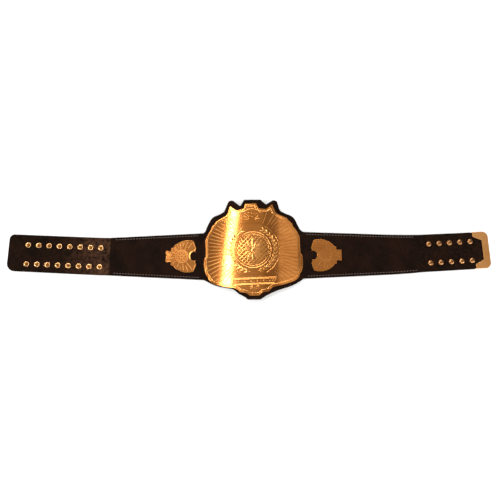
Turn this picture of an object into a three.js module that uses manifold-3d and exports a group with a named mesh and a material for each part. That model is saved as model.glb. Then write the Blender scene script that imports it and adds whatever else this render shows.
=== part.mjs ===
// A championship title belt, lying on its back: a long leather strap in two layers, a curved
// metal main plate, two side plates, a metal tip, and two rows of snap fasteners at each end.
// Millimetres, +Z up. The strap runs along X and the top of the main plate points along +Y.
//
// Every piece is first laid out flat, as a maker cuts it: u runs along the strap from the
// middle of the main plate, v across it, and w up from the underside of the leather. The flat
// pieces are then carried onto the strap's real path.

import * as THREE from "three";
import { mergeVertices } from "three/addons/utils/BufferGeometryUtils.js";
import Module from "manifold-3d";

const wasm = await Module();
wasm.setup();

// Driving dimensions

const CLEARANCE = 0.3; // left between any two pieces that meet

const STRAP = {
  left: 650.5, // middle of the main plate to the left end
  right: 624, // middle of the main plate to the right end of the leather
  plateWidth: 124.3, // where the strap meets the main plate
  snapWidth: 99.8, // at the inner end of the snap sections
  endWidth: 98, // at the left end, and where the metal tip begins
  tipWidth: 95, // inside the tip
  cornerRadius: 13,
  lowerLeftRadius: 21,
  baseThickness: 3,
  panelThickness: 2,
  panelCornerRadius: 3,
};

// The strap is cut by hand: how far its middle strays upwards at each of those widths.
const STRAY = {
  left: { plate: -1.1, snaps: 0.9, end: 1.4 },
  right: { plate: 0.2, snaps: -0.1, end: -1.1, tip: -0.6 },
};

// The strap is cut so that its snap sections lean a little towards the top of the plate.
const LEAN = { from: 352, over: 76, angle: THREE.MathUtils.degToRad(2.9), strips: 4 };

// The leather follows the curved main plate and bends back to the surface just past its edge.
const ARCH = { radius: 600, backRadius: 70, pastPlate: 3.5, strips: 11, backStrips: 4 };

const PLATE = {
  width: 260,
  rise: 136.6, // above the strap's centre line
  drop: 105.3, // below it
  thickness: 3,
  border: 10.5, // leather that shows round the plate
  turn: THREE.MathUtils.degToRad(2), // it is mounted slightly askew
  shift: { u: -1, v: -1 },
};

const SIDE = {
  length: 80,
  height: 84.5,
  thickness: 2.5,
  // Each is set by eye: clear leather between it and the main plate, and height on the strap.
  left: { fromPlate: 21.8, up: -0.6 },
  right: { fromPlate: 23.2, up: -0.5 },
};

const SNAP = {
  pitch: 27.5, // between columns
  rows: 50.5, // between the two rows
  rowShift: -1.7,
  studsFromEnd: 52, // left end to the first column
  capsFromEnd: 47.4, // right end of the leather to the first column
  toPanel: 26, // last column to the end of the front panel
  studColumns: 8,
  capColumns: 5,
  backProud: 1.4, // every fastener's back, which the belt rests on
  sides: 10,
};

const STUD = { flange: 7.3, back: 6.5, shank: 2.6, postNeck: 2.9, postHead: 3.4, height: 4.2 };
const CAP = { radius: 7.5, height: 3.3, socket: 6.5, barrel: 4.1, bore: 3.3, boreDepth: 3.4 };

const SCREW = { head: 5, shank: 2, reach: 1.4, sides: 8 };

const TIP = {
  sheet: 0.9,
  band: 16.3, // across the end
  armLength: 39,
  armWidth: 11,
  armRoot: 22, // an arm's width where it joins the band
};

// Each table below holds half of an outline, from the flat at its top round to the one at its
// bottom. x is a share of the half width and y a share of the rise, or of the drop where it is
// negative. bow is how far the edge that leads to the point swells outwards, as a share of its
// length.

const PLATE_OUTLINE = [
  { x: 0.104, y: 1.0 },
  { x: 0.154, y: 0.9 },
  { x: 0.3, y: 0.881 },
  { x: 0.427, y: 0.974 },
  { x: 0.469, y: 0.857, bow: -0.03 },
  { x: 0.523, y: 0.783, bow: -0.1 },
  { x: 0.712, y: 0.694 },
  { x: 0.735, y: 0.657 },
  { x: 0.819, y: 0.586 },
  { x: 0.823, y: 0.542 },
  { x: 0.953, y: 0.332, bow: 0.05 },
  { x: 0.955, y: 0.015, bow: -0.01 },
  { x: 0.988, y: -0.06, bow: 0.08 },
  { x: 0.96, y: -0.43, bow: 0.06 },
  { x: 0.915, y: -0.51 },
  { x: 0.9, y: -0.57 },
  { x: 0.73, y: -0.7, bow: 0.1 },
  { x: 0.42, y: -0.788, bow: 0.03 },
  { x: 0.354, y: -0.817 },
  { x: 0.285, y: -0.902 },
  { x: 0.162, y: -0.927 },
  { x: 0.092, y: -1.0 },
];

// The leather's border round the main plate, right and left of its middle, above and below the
// strap. It is cut by hand, so its halves differ. Its last x above and its first below are where
// the strap leaves it.
const LOBE = {
  right: {
    top: [
      { x: 0.134, y: 1.0 },
      { x: 0.162, y: 0.978, bow: 0.15 },
      { x: 0.226, y: 0.925 },
      { x: 0.26, y: 0.925, bow: -0.2 },
      { x: 0.352, y: 0.98 },
      { x: 0.454, y: 0.959, bow: 0.2 },
      { x: 0.482, y: 0.854 },
      { x: 0.537, y: 0.779, bow: -0.12 },
      { x: 0.675, y: 0.725, bow: -0.03 },
      { x: 0.805, y: 0.608, bow: 0.12 },
      { x: 0.851, y: 0.514 },
      { x: 0.902, y: 0.446, bow: -0.05 },
    ],
    bottom: [
      { x: 0.861, y: -0.593 },
      { x: 0.64, y: -0.727, bow: 0.04 },
      { x: 0.445, y: -0.8 },
      { x: 0.216, y: -0.927, bow: -0.02 },
      { x: 0.148, y: -0.982 },
      { x: 0.103, y: -1.004, bow: 0.12 },
    ],
  },
  left: {
    top: [
      { x: 0.152, y: 1.0 },
      { x: 0.178, y: 0.984, bow: 0.15 },
      { x: 0.226, y: 0.903 },
      { x: 0.27, y: 0.904, bow: -0.2 },
      { x: 0.352, y: 0.974 },
      { x: 0.466, y: 0.966, bow: 0.2 },
      { x: 0.511, y: 0.862 },
      { x: 0.553, y: 0.781, bow: -0.04 },
      { x: 0.675, y: 0.726, bow: -0.03 },
      { x: 0.815, y: 0.627, bow: 0.12 },
      { x: 0.866, y: 0.532 },
      { x: 0.898, y: 0.45, bow: 0.03 },
    ],
    bottom: [
      { x: 0.861, y: -0.593 },
      { x: 0.634, y: -0.71, bow: 0.04 },
      { x: 0.375, y: -0.769 },
      { x: 0.268, y: -0.882 },
      { x: 0.211, y: -0.913 },
      { x: 0.139, y: -0.968 },
      { x: 0.097, y: -1.004, bow: 0.12 },
    ],
  },
};
const LOBE_LEAVES = 0.935; // share of the border's half width where the strap leaves it

// A side plate, from the bottom of its notch round to its foot. s is a share of its length,
// from the notched side outwards, and v a share of its half height.
const SIDE_OUTLINE = [
  { s: 0.192, v: 0.0 },
  { s: 0.02, v: 0.255, bow: -0.33 },
  { s: 0.038, v: 0.4 },
  { s: 0.0, v: 0.495 },
  { s: 0.044, v: 0.71, bow: -0.04 },
  { s: 0.088, v: 0.945 },
  { s: 0.25, v: 1.0, bow: 0.06 },
  { s: 0.45, v: 0.965, bow: 0.06 },
  { s: 0.788, v: 0.53, bow: 0.08 },
  { s: 0.825, v: 0.553 },
  { s: 0.838, v: 0.33 },
  { s: 1.0, v: 0.34 },
  { s: 1.0, v: 0.0 },
];

// Where screws hold the plates, as shares of the half width and of the rise or drop.
const PLATE_SCREWS = [
  { x: 0.0, y: 0.8 },
  { x: 0.66, y: 0.5 },
  { x: 0.75, y: -0.42 },
  { x: 0.0, y: -0.78 },
  { x: -0.75, y: -0.42 },
  { x: -0.66, y: 0.5 },
];
const SIDE_SCREWS = [
  { s: 0.3, v: 0.62 },
  { s: 0.3, v: -0.62 },
];

// Sizes that follow from those above

const panelBottom = STRAP.baseThickness + CLEARANCE;
const panelTop = panelBottom + STRAP.panelThickness;
const plateBottom = panelTop + CLEARANCE;
const restHeight = CLEARANCE + SNAP.backProud; // underside of the leather above the surface
const plateHalf = PLATE.width / 2;
const lobe = {
  half: plateHalf + PLATE.border,
  rise: PLATE.rise + PLATE.border,
  drop: PLATE.drop + PLATE.border,
};
const archHalf = plateHalf + Math.abs(PLATE.shift.u) + ARCH.pastPlate;
const archAngle = archHalf / ARCH.radius;
const backLength = archAngle * ARCH.backRadius;
const snapLength = (fromEnd, columns) => fromEnd + (columns - 1) * SNAP.pitch + SNAP.toPanel;
const panelLeft = -(STRAP.left - snapLength(SNAP.studsFromEnd, SNAP.studColumns));
const panelRight = STRAP.right - snapLength(SNAP.capsFromEnd, SNAP.capColumns);

// The strap's path

// Where the underside of the leather is at a distance along the strap, seen from its long edge:
// how far out, how high, and how steeply it falls.
function profileAt(distance) {
  const archEnd = ARCH.radius * Math.sin(archAngle);
  if (distance <= archHalf) {
    const angle = distance / ARCH.radius;
    const top = (ARCH.radius + ARCH.backRadius) * (1 - Math.cos(archAngle));
    return { out: ARCH.radius * Math.sin(angle), up: top - ARCH.radius * (1 - Math.cos(angle)), angle };
  }
  const angle = Math.max(0, archAngle - (distance - archHalf) / ARCH.backRadius);
  const bent = ARCH.backRadius * (Math.sin(archAngle) - Math.sin(angle));
  const flat = Math.max(0, distance - archHalf - backLength);
  return { out: archEnd + bent + flat, up: ARCH.backRadius * (1 - Math.cos(angle)), angle };
}

// Where the strap's centre line is, seen from above, at a distance out from the plate.
function planAt(out) {
  const radius = LEAN.over / LEAN.angle;
  const angle = LEAN.angle * THREE.MathUtils.clamp((out - LEAN.from) / LEAN.over, 0, 1);
  const straight = Math.max(0, out - LEAN.from - LEAN.over);
  return {
    x: Math.min(out, LEAN.from) + radius * Math.sin(angle) + straight * Math.cos(angle),
    y: radius * (1 - Math.cos(angle)) + straight * Math.sin(angle),
    angle,
  };
}

// A point of the flat layout on the strap's real path, with the two angles there.
function onPath(u, v, w) {
  const side = u < 0 ? -1 : 1;
  const profile = profileAt(Math.abs(u));
  const plan = planAt(profile.out);
  const x = plan.x - v * Math.sin(plan.angle) + w * Math.sin(profile.angle);
  const y = plan.y + v * Math.cos(plan.angle);
  const z = profile.up + w * Math.cos(profile.angle) + restHeight;
  return { point: [side * x, y, z], fall: side * profile.angle, lean: side * plan.angle };
}

// Distances along the strap at which a flat layer is cut into strips, so that it can bend there.
function stations() {
  const bendEnd = archHalf + backLength;
  const leanStart = LEAN.from + bendEnd - profileAt(bendEnd).out;
  const along = [
    ...Array.from({ length: ARCH.strips }, (_, i) => (archHalf * (i + 0.5)) / ARCH.strips),
    ...Array.from({ length: ARCH.backStrips + 1 }, (_, i) => archHalf + (backLength * i) / ARCH.backStrips),
    ...Array.from({ length: LEAN.strips + 1 }, (_, i) => leanStart + (LEAN.over * i) / LEAN.strips),
  ];
  return [...along.map((u) => -u), ...along].sort((p, q) => p - q);
}

// Flat layers

// An outline cut at a station, as the rings on the side that is kept: -1 before it, 1 after it.
function cutAway(ring, station, keep) {
  const sideOf = (p) => (p.x < station ? -1 : 1);
  const crossed = [];
  ring.forEach((p, i) => {
    const next = ring[(i + 1) % ring.length];
    crossed.push({ p, cut: false });
    if (sideOf(p) === sideOf(next)) return;
    const share = (station - p.x) / (next.x - p.x);
    crossed.push({ p: new THREE.Vector2(station, p.y + share * (next.y - p.y)), cut: true });
  });
  const cuts = crossed.map((_, i) => i).filter((i) => crossed[i].cut);
  if (!cuts.length) return sideOf(ring[0]) === keep ? [ring] : [];
  // Going up the station, the layer lies between its first and second crossings, and so on.
  cuts.sort((i, k) => crossed[i].p.y - crossed[k].p.y);
  const partner = new Map(cuts.map((i, n) => [i, cuts[n % 2 ? n - 1 : n + 1]]));
  const after = (i) => (i + 1) % crossed.length;
  const rings = [];
  const used = new Set();
  for (const start of cuts) {
    if (used.has(start) || sideOf(crossed[after(start)].p) !== keep) continue;
    const part = [];
    let i = start;
    do {
      used.add(i);
      part.push(crossed[i].p);
      for (i = after(i); !crossed[i].cut; i = after(i)) part.push(crossed[i].p);
      part.push(crossed[i].p);
      i = partner.get(i);
    } while (i !== start);
    rings.push(part);
  }
  return rings;
}

const strips = (ring, cuts) =>
  [...cuts, Infinity].flatMap((to, i) => {
    const kept = i ? cutAway(ring, cuts[i - 1], 1) : [ring];
    return to === Infinity ? kept : kept.flatMap((part) => cutAway(part, to, -1));
  });

function contains(ring, p) {
  const crossings = ring.filter((a, i) => {
    const b = ring[(i + 1) % ring.length];
    return a.y > p.y !== b.y > p.y && p.x < a.x + ((p.y - a.y) * (b.x - a.x)) / (b.y - a.y);
  });
  return crossings.length % 2 === 1;
}

const counterClockwise = (ring) => (THREE.ShapeUtils.isClockWise(ring) ? [...ring].reverse() : ring);

// A layer of leather or metal between two heights, bent onto the strap's path. Its holes go
// right through, or from its underside to a given height where the layer is only drilled.
function layer(outline, holes, bottom, top, drilledTo) {
  const offCut = 0.05; // an outline's corner is kept this far from a station
  const reach = (hole) => [Math.min(...hole.map((p) => p.x)), Math.max(...hole.map((p) => p.x))];
  const blocked = (u) => holes.map(reach).some(([from, to]) => u > from - 0.2 && u < to + 0.2);
  const cuts = stations().filter((u) => !blocked(u));
  const ring = counterClockwise(outline).map((p) => {
    const close = cuts.find((u) => Math.abs(p.x - u) < offCut);
    return close === undefined ? p : new THREE.Vector2(close + (p.x < close ? -offCut : offCut), p.y);
  });
  const corners = [];
  const put = (p, w) => corners.push(...onPath(p.x, p.y, w).point);
  const face = (part, openings, w, up) => {
    const all = [part, ...openings].flat();
    for (const corner of THREE.ShapeUtils.triangulateShape([...part], openings.map((h) => [...h]))) {
      const [p, q, r] = corner.map((n) => all[n]);
      const turnsLeft = (q.x - p.x) * (r.y - p.y) - (q.y - p.y) * (r.x - p.x) > 0;
      for (const point of turnsLeft === up ? [p, q, r] : [p, r, q]) put(point, w);
    }
  };
  const walls = (points, from, to) => {
    points.forEach((p, i) => {
      const q = points[(i + 1) % points.length];
      if (p.x === q.x && cuts.includes(p.x)) return;
      for (const [point, w] of [[p, from], [q, from], [q, to], [p, from], [q, to], [p, to]]) put(point, w);
    });
  };
  for (const part of strips(ring, cuts)) {
    const here = holes.filter((hole) => contains(part, hole[0]));
    face(part, here, bottom, false);
    face(part, drilledTo ? [] : here, top, true);
    walls(part, bottom, top);
    for (const hole of here) {
      walls([...hole].reverse(), bottom, drilledTo ?? top);
      if (drilledTo) face(hole, [], drilledTo, false);
    }
  }
  return new THREE.BufferGeometry().setAttribute(
    "position",
    new THREE.Float32BufferAttribute(corners, 3),
  );
}

// Other solids

// A round solid from half of its section, turned round the vertical axis.
function turned(profile, sides) {
  const section = profile.map(([radius, height]) => new THREE.Vector2(radius, height));
  return new THREE.LatheGeometry(section, sides).rotateX(Math.PI / 2);
}

// The corners of a round hole that clears a shank of a radius, both with flat sides.
function holeFor(radius, at, sides) {
  const reach = (radius + CLEARANCE) / Math.cos(Math.PI / sides);
  return Array.from({ length: sides }, (_, i) => {
    const angle = (2 * Math.PI * i) / sides;
    return new THREE.Vector2(at.u + reach * Math.cos(angle), at.v + reach * Math.sin(angle));
  });
}

// A flat solid of an outline that cuts and is cut, between two heights.
function block(points, bottom, top) {
  const shape = new THREE.Shape(points);
  const flat = new THREE.ExtrudeGeometry(shape, { depth: top - bottom, bevelEnabled: false });
  const bare = new THREE.BufferGeometry().setAttribute("position", flat.getAttribute("position"));
  const merged = mergeVertices(bare.translate(0, 0, bottom), 1e-3);
  return new wasm.Manifold(
    new wasm.Mesh({
      numProp: 3,
      vertProperties: merged.attributes.position.array,
      triVerts: new Uint32Array(merged.index.array),
    }),
  );
}

// Outlines

// The points of an arc from a to b that swells to the left by a share of its length.
function arc(a, b, bow) {
  if (!bow) return [b];
  const chord = b.clone().sub(a);
  const angle = 4 * Math.atan(2 * Math.abs(bow));
  const parts = Math.max(2, Math.ceil(angle / THREE.MathUtils.degToRad(14)));
  const radius = chord.length() / (2 * Math.sin(angle / 2));
  const across = new THREE.Vector2(-chord.y, chord.x).normalize().multiplyScalar(Math.sign(bow));
  const middle = a.clone().add(b).multiplyScalar(0.5);
  const centre = middle.sub(across.multiplyScalar(radius * Math.cos(angle / 2)));
  const from = a.clone().sub(centre);
  return Array.from({ length: parts }, (_, i) => {
    const turn = (-Math.sign(bow) * angle * (i + 1)) / parts;
    return from.clone().rotateAround(new THREE.Vector2(), turn).add(centre);
  });
}

// Half of an outline from its table.
function traced(rows, size) {
  const points = [];
  for (const row of rows) {
    const corner = new THREE.Vector2(row.x * size.half, row.y * (row.y < 0 ? size.drop : size.rise));
    const last = points.at(-1);
    points.push(...(last ? arc(last, corner, row.bow) : [corner]));
  }
  return points;
}

const mirrored = (points) => points.map((p) => new THREE.Vector2(-p.x, p.y)).reverse();

// A rounded corner that an edge reaches going out along the strap: +1 above, -1 below.
function endCorner(end, v, radius, up) {
  const start = new THREE.Vector2(end - radius, v);
  const points = arc(start, new THREE.Vector2(end, v - up * radius), (up * (Math.SQRT2 - 1)) / 2);
  return [start, ...points];
}

// One end of the strap, from its upper edge where it leaves the border round to its lower edge.
function strapEnd(end, radius, lowerRadius) {
  const right = end > 0;
  const stray = right ? STRAY.right : STRAY.left;
  const seam = Math.abs(right ? panelRight : panelLeft);
  const tipStart = STRAP.right - TIP.armLength;
  const reach = Math.abs(end);
  const places = [
    { u: lobe.half * LOBE_LEAVES, width: STRAP.plateWidth, middle: stray.plate },
    { u: seam, width: STRAP.snapWidth, middle: stray.snaps },
  ];
  if (reach > seam) {
    const before = right ? tipStart - 4 : reach;
    places.push({ u: before, width: STRAP.endWidth, middle: stray.end });
    if (right) places.push({ u: tipStart - 1, width: STRAP.tipWidth, middle: stray.tip });
  }
  const last = places.at(-1);
  const edge = (up, round) => {
    const line = places.map((p) => new THREE.Vector2(p.u, p.middle + (up * p.width) / 2));
    const corner = endCorner(reach, last.middle + (up * last.width) / 2, round, up);
    return [...line.filter((p) => p.x < reach - round - 1), ...corner];
  };
  const points = [...edge(1, radius), ...edge(-1, lowerRadius).reverse()];
  return right ? points : mirrored(points);
}

// The whole leather outline, clockwise from the top of the plate's border.
function leatherOutline(left, right, radius, lowerLeftRadius) {
  const half = (side) => [traced(side.top, lobe), traced(side.bottom, lobe)];
  const [rightTop, rightBottom] = half(LOBE.right);
  const [leftTop, leftBottom] = half(LOBE.left);
  return [
    ...rightTop,
    ...strapEnd(right, radius, radius),
    ...rightBottom,
    ...mirrored(leftBottom),
    ...strapEnd(left, radius, lowerLeftRadius),
    ...mirrored(leftTop),
  ];
}

// The main plate's outline and its screws sit a little askew on the leather.
function onPlate(point) {
  const placed = point.clone().rotateAround(new THREE.Vector2(), PLATE.turn);
  return placed.add(new THREE.Vector2(PLATE.shift.u, PLATE.shift.v));
}

function plateOutline() {
  const half = traced(PLATE_OUTLINE, { half: plateHalf, rise: PLATE.rise, drop: PLATE.drop });
  return [...half, ...mirrored(half)].map(onPlate);
}

function onSide(row, side) {
  const { fromPlate, up } = side < 0 ? SIDE.left : SIDE.right;
  const u = side * (plateHalf + fromPlate + row.s * SIDE.length);
  return new THREE.Vector2(u, up + (row.v * SIDE.height) / 2);
}

function sideOutline(side) {
  const edge = (half) => {
    const corners = SIDE_OUTLINE.map((row) => onSide({ s: row.s, v: half * row.v }, side));
    const swell = (row) => (row.bow ?? 0) * half * side;
    return corners.flatMap((p, i) => (i ? arc(corners[i - 1], p, swell(SIDE_OUTLINE[i])) : [p]));
  };
  return [...edge(1), ...edge(-1).reverse().slice(1, -1)];
}

// Places of the fasteners, in the flat layout

function snapPlaces(end, fromEnd, columns) {
  const side = Math.sign(end);
  return Array.from({ length: columns }, (_, i) => i).flatMap((i) =>
    ["upper", "lower"].map((row) => ({
      name: row + "_" + (i + 1),
      u: side * (Math.abs(end) - fromEnd - i * SNAP.pitch),
      v: SNAP.rowShift + (row === "upper" ? 1 : -1) * (SNAP.rows / 2),
    })),
  );
}

const studPlaces = snapPlaces(-STRAP.left, SNAP.studsFromEnd, SNAP.studColumns);
const capPlaces = snapPlaces(STRAP.right, SNAP.capsFromEnd, SNAP.capColumns);

const plateScrewPlaces = PLATE_SCREWS.map((row, i) => {
  const at = onPlate(
    new THREE.Vector2(row.x * plateHalf, row.y * (row.y < 0 ? PLATE.drop : PLATE.rise)),
  );
  return { name: "plate_screw_" + (i + 1), u: at.x, v: at.y };
});

const sideScrewPlaces = (side) =>
  SIDE_SCREWS.map((row, i) => {
    const at = onSide(row, side);
    return { name: "side_screw_" + (side < 0 ? "left_" : "right_") + (i + 1), u: at.x, v: at.y };
  });

const screwPlaces = [...plateScrewPlaces, ...sideScrewPlaces(-1), ...sideScrewPlaces(1)];
const screwHoles = screwPlaces.map((at) => holeFor(SCREW.shank, at, SCREW.sides));

// Materials

const leather = (color) => new THREE.MeshStandardMaterial({ color, roughness: 0.62, metalness: 0 });
const metal = (color, roughness) => new THREE.MeshStandardMaterial({ color, roughness, metalness: 1 });
const strapLeather = leather(0x1c1310);
const panelLeather = leather(0x241713);
const plateGold = metal(0xc98a3c, 0.28);
const sideGold = metal(0xcf9545, 0.32);
const tipGold = metal(0xd09a4c, 0.38);
const snapBrass = metal(0xd8a765, 0.25);
const screwSteel = metal(0xb8b2a6, 0.4);

// Pieces

const belt = new THREE.Group();

function add(name, geometry, material) {
  const mesh = new THREE.Mesh(geometry, material);
  mesh.name = name;
  belt.add(mesh);
  return mesh;
}

// A round piece set upright on the leather at a place of the layout. Its own zero height is
// the underside of the leather.
function place(mesh, at) {
  const here = onPath(at.u, at.v, 0);
  mesh.position.set(...here.point);
  mesh.rotation.set(0, here.fall, here.lean);
}

function strapBase() {
  const snapHoles = [
    ...studPlaces.map((at) => holeFor(STUD.shank, at, SNAP.sides)),
    ...capPlaces.map((at) => holeFor(CAP.barrel, at, SNAP.sides)),
  ];
  const { cornerRadius, lowerLeftRadius } = STRAP;
  const outline = leatherOutline(-STRAP.left, STRAP.right, cornerRadius, lowerLeftRadius);
  add("strap_base", layer(outline, [...snapHoles, ...screwHoles], 0, STRAP.baseThickness), strapLeather);
}

function frontPanel() {
  const radius = STRAP.panelCornerRadius;
  const outline = leatherOutline(panelLeft, panelRight, radius, radius);
  add("front_panel", layer(outline, screwHoles, panelBottom, panelTop), panelLeather);
}

// A metal plate on the front panel, drilled from its back for its screws.
function plate(name, outline, thickness, places, material) {
  const holes = places.map((at) => holeFor(SCREW.shank, at, SCREW.sides));
  const drilledTo = plateBottom + SCREW.reach + CLEARANCE;
  add(name, layer(outline, holes, plateBottom, plateBottom + thickness, drilledTo), material);
}

// A flat-headed screw from the back of the leather up into a plate.
function screw(at) {
  const underside = -CLEARANCE;
  const profile = [
    [0, underside - SNAP.backProud],
    [SCREW.head - 0.5, underside - SNAP.backProud],
    [SCREW.head, underside - SNAP.backProud / 2],
    [SCREW.head, underside],
    [SCREW.shank, underside],
    [SCREW.shank, plateBottom + SCREW.reach],
    [0, plateBottom + SCREW.reach],
  ];
  place(add(at.name, turned(profile, SCREW.sides), screwSteel), at);
}

// A snap's stud half: a flange and a headed post on the front, riveted to a flat back.
function stud(at) {
  const back = -CLEARANCE;
  const front = STRAP.baseThickness + CLEARANCE;
  const top = front + STUD.height;
  const profile = [
    [0, back - SNAP.backProud],
    [STUD.back - 1, back - SNAP.backProud],
    [STUD.back, back],
    [STUD.shank, back],
    [STUD.shank, front],
    [STUD.flange, front],
    [STUD.flange - 0.7, front + 1],
    [STUD.postNeck, front + 1],
    [STUD.postHead, top - 1],
    [STUD.postHead - 1, top],
    [0, top - 1],
  ];
  place(add("stud_" + at.name, turned(profile, SNAP.sides), snapBrass), at);
}

// A snap's cap half: a domed cap on the front, riveted to a socket that opens at the back.
function cap(at) {
  const back = -CLEARANCE;
  const mouth = back - SNAP.backProud;
  const front = STRAP.baseThickness + CLEARANCE;
  const profile = [
    [0, mouth + CAP.boreDepth],
    [CAP.bore, mouth + CAP.boreDepth],
    [CAP.bore, mouth],
    [CAP.socket - 0.6, mouth],
    [CAP.socket, back],
    [CAP.barrel, back],
    [CAP.barrel, front],
    [CAP.radius, front],
    [CAP.radius, front + CAP.height * 0.3],
    [CAP.radius * 0.82, front + CAP.height * 0.72],
    [CAP.radius * 0.45, front + CAP.height * 0.95],
    [0, front + CAP.height],
  ];
  place(add("cap_" + at.name, turned(profile, SNAP.sides), snapBrass), at);
}

// The end of the strap grown by a margin, as far in as a distance from the end.
function endBlock(margin, inwards, bottom, top) {
  const edge = (up) => {
    const v = STRAY.right.tip + up * (STRAP.tipWidth / 2 + margin);
    const start = new THREE.Vector2(STRAP.right - inwards, v);
    return [start, ...endCorner(STRAP.right + margin, v, STRAP.cornerRadius + margin, up)];
  };
  return block([...edge(1), ...edge(-1).reverse()], bottom, top);
}

// The metal tip is one sheet folded over the right end, with a pointed arm along each edge.
function strapTip() {
  const outer = CLEARANCE + TIP.sheet;
  const top = STRAP.baseThickness;
  const inner = (up) => {
    const edge = (inset) => STRAY.right.tip + up * (STRAP.tipWidth / 2 - inset);
    return [
      new THREE.Vector2(STRAP.right - TIP.armLength - 1, edge(TIP.armWidth - 0.5)),
      new THREE.Vector2(STRAP.right - TIP.band, edge(TIP.armRoot)),
    ];
  };
  const channel = endBlock(CLEARANCE, TIP.armLength + 1, -CLEARANCE, top + CLEARANCE);
  const window = block([...inner(1), ...inner(-1).reverse()], -outer - 1, top + outer + 1);
  const solid = endBlock(outer, TIP.armLength, -outer, top + outer).subtract(channel).subtract(window);
  const { vertProperties, triVerts } = solid.getMesh();
  const sheet = new THREE.BufferGeometry()
    .setAttribute("position", new THREE.BufferAttribute(vertProperties, 3))
    .setIndex(new THREE.BufferAttribute(triVerts, 1));
  const at = sheet.attributes.position;
  for (let i = 0; i < at.count; i++) {
    at.setXYZ(i, ...onPath(at.getX(i), at.getY(i), at.getZ(i)).point);
  }
  add("strap_tip", sheet, tipGold);
}

strapBase();
frontPanel();
plate("main_plate", plateOutline(), PLATE.thickness, plateScrewPlaces, plateGold);
for (const [name, side] of [["side_plate_left", -1], ["side_plate_right", 1]]) {
  plate(name, sideOutline(side), SIDE.thickness, sideScrewPlaces(side), sideGold);
}
strapTip();
studPlaces.forEach(stud);
capPlaces.forEach(cap);
screwPlaces.forEach(screw);

// The origin is under the middle of the whole belt, on the surface that it lies on.
const box = new THREE.Box3().setFromObject(belt, true);
const middle = box.getCenter(new THREE.Vector3());
belt.position.set(-middle.x, -middle.y, -box.min.z);

export default belt;
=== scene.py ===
import math
import random

import bmesh
import bpy
from mathutils import Matrix, Vector


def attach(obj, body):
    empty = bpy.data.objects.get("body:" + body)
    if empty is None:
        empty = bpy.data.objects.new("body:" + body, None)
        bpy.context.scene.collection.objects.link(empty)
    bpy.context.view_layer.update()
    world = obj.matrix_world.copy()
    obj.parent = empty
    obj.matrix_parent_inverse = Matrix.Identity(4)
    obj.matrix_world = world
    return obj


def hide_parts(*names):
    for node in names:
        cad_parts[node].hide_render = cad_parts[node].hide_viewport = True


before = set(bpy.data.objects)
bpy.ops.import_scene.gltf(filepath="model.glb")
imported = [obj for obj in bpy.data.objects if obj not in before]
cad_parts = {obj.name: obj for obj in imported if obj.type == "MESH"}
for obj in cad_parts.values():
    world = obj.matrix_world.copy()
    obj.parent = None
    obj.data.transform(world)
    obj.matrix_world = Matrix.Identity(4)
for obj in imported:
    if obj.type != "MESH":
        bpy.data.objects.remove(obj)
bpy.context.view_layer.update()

scene = bpy.context.scene

# The view
# The belt lies face up and is seen from nearly straight above: the camera leans 8 degrees
# towards the belt's lower edge, 1.33 m away. The belt's own sizes are in millimetres below, and
# those of the view and the light in metres.
MM = 0.001
belt_centre = Vector((12.42, -15.42, 0.0)) * MM  # under the middle of the main plate
view_tilt = math.radians(8.0)
view_roll = math.radians(-0.5)
view_distance = 1.325

lens = bpy.data.cameras.new("view")
lens.sensor_width = 36.0
lens.lens = 36.0
lens.shift_x = -0.007
lens.shift_y = 0.012
view = bpy.data.objects.new("view", lens)
scene.collection.objects.link(view)
turn = Matrix.Rotation(view_roll, 4, "Z") @ Matrix.Rotation(view_tilt, 4, "X")
view.matrix_world = (
    Matrix.Translation(belt_centre) @ turn @ Matrix.Translation((0, 0, view_distance))
)
scene.camera = view
scene.view_settings.view_transform = "Standard"

# The table and the light
# A white matt table, a dim room, and soft boxes. The strong narrow ones overhead give the curved
# plate its bright band; the low ones whiten the table and pick out the relief.


def linear(code):
    channels = [int(code[i : i + 2], 16) / 255 for i in (1, 3, 5)]
    return [c / 12.92 if c <= 0.04045 else ((c + 0.055) / 1.055) ** 2.4 for c in channels] + [1.0]


def add_node(tree, kind, inputs=None, **settings):
    node = tree.nodes.new(kind)
    for name, value in settings.items():
        setattr(node, name, value)
    for name, value in (inputs or {}).items():
        if isinstance(value, bpy.types.NodeSocket):
            tree.links.new(value, node.inputs[name])
        else:
            node.inputs[name].default_value = value
    return node


def new_material(name):
    material = bpy.data.materials.new(name)
    material.use_nodes = True
    material.node_tree.nodes.clear()
    return material, material.node_tree


# Painted board: white and without shine, so that all it shows is the belt's soft shadow.
matt_board, tree = new_material("matt_white_board")
board = add_node(
    tree, "ShaderNodeBsdfPrincipled", {"Base Color": linear("#fdfdfc"), "Roughness": 0.9}
)
add_node(tree, "ShaderNodeOutputMaterial", {"Surface": board.outputs[0]})
half_table = 9.0
corner_signs = ((-1, -1), (1, -1), (1, 1), (-1, 1))
table_corners = [(x * half_table, y * half_table, 0.0) for x, y in corner_signs]
table_mesh = bpy.data.meshes.new("table")
table_mesh.from_pydata(table_corners, [], [(0, 1, 2, 3)])
table_mesh.materials.append(matt_board)
table = bpy.data.objects.new("table", table_mesh)
scene.collection.objects.link(table)

# A dim grey room, which is what the gold mirrors between the soft boxes.
room = bpy.data.worlds.new("room")
room.use_nodes = True
room.node_tree.nodes["Background"].inputs["Color"].default_value = linear("#8b8985")
scene.world = room


def soft_box(name, place, width, length, brightness, spin=0.0, aim=None):
    light = bpy.data.lights.new(name, "AREA")
    light.shape = "RECTANGLE"
    light.size, light.size_y = width, length
    light.energy = brightness * math.pi * width * length
    lamp = bpy.data.objects.new(name, light)
    scene.collection.objects.link(lamp)
    away = Vector(place) - Vector(aim or (place[0], place[1], 0.0))
    facing = away.to_track_quat("Z", "Y").to_matrix().to_4x4()
    lamp.matrix_world = Matrix.Translation(place) @ facing @ Matrix.Rotation(spin, 4, "Z")


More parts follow.
